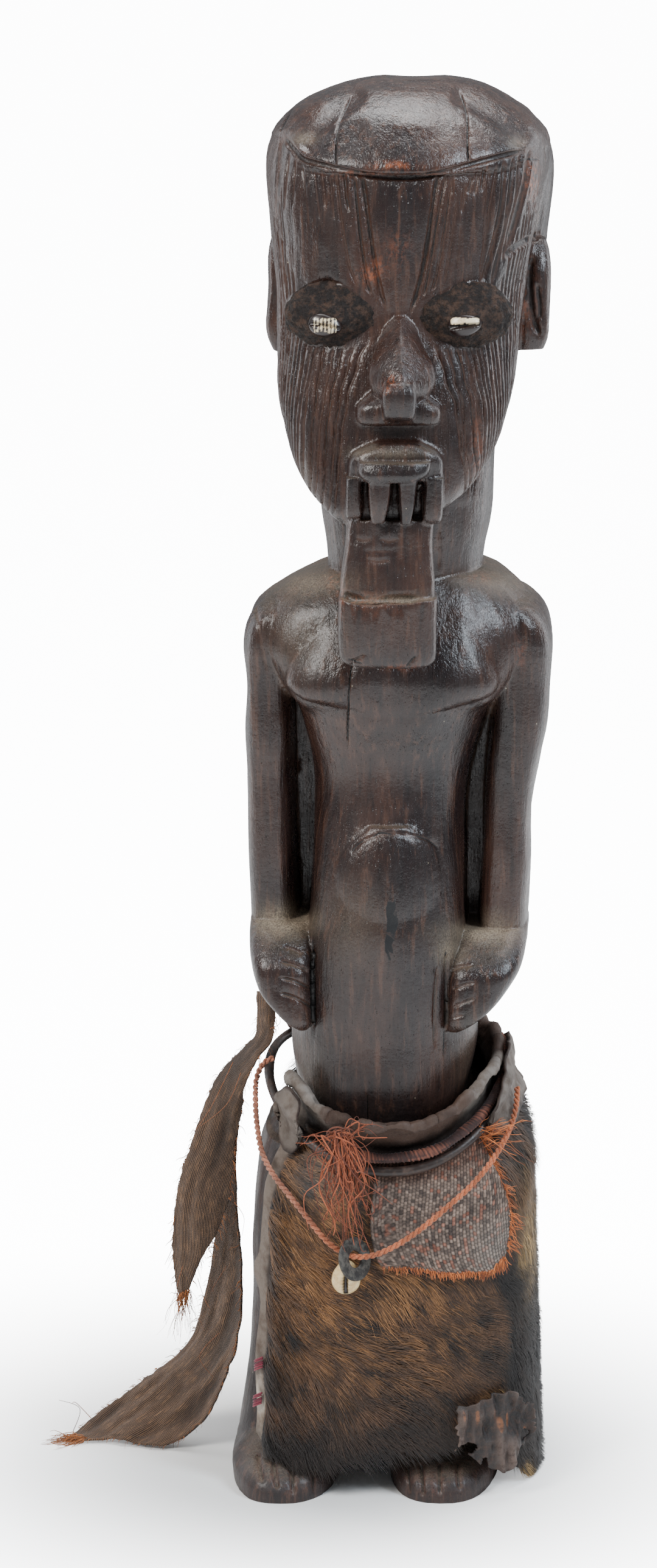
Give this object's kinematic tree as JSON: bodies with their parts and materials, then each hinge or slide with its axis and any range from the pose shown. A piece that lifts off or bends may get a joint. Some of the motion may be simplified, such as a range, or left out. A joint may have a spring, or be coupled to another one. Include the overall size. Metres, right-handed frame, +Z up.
{
  "type": "carved wooden figure",
  "caption": "Standing wooden figure with plank beard, resin eyes, hide skirt, raffia cloth, waist hoop, bound rope, and a twisted cord with disc and shell.",
  "frame": {"origin": "on the floor under the middle of the whole object's box, between the soles", "axes": "+Z up along the body, -Y to the front where the face looks, +X to the figure's left side"},
  "size_m": [0.2438, 0.1736, 0.6945],
  "materials": {
    "dark_wood": "dark oiled hardwood, worn to a gloss, dusty in the hollows",
    "resin": "dull dark resin crust with a grain",
    "shell": "ivory cowrie shell, smooth with a soft gloss",
    "hide": "dark hide with the fur on, brown to ochre",
    "dried_skin": "shrunken grey-brown skin, dry and wrinkled",
    "thread": "dark red thread",
    "hoop": "smooth dark brown hoop with a dull gloss",
    "rope": "red-brown plant fibre, dry and frayed",
    "raffia": "coarse woven raffia, aged grey-brown",
    "cord": "two twisted strands of orange-brown fibre",
    "disc": "dark grey metal with a pale greenish rim"
  },
  "bodies": {
    "root": {"figure": "dark_wood", "eye_crust_right": "resin", "eye_crust_left": "resin", "eye_cowrie_right": "shell", "eye_cowrie_left": "shell", "hide_skirt": "hide", "dried_skin": "dried_skin", "hide_tie_upper": "thread", "hide_tie_lower": "thread", "waist_hoop": "hoop", "waist_rope": "rope", "fibre_tassel": "rope", "raffia_mat": "raffia", "raffia_strip_short": "raffia", "raffia_strip_long": "raffia", "pendant_cord": "cord", "pendant_disc": "disc", "pendant_cowrie": "shell"}
  },
  "joints": []
}
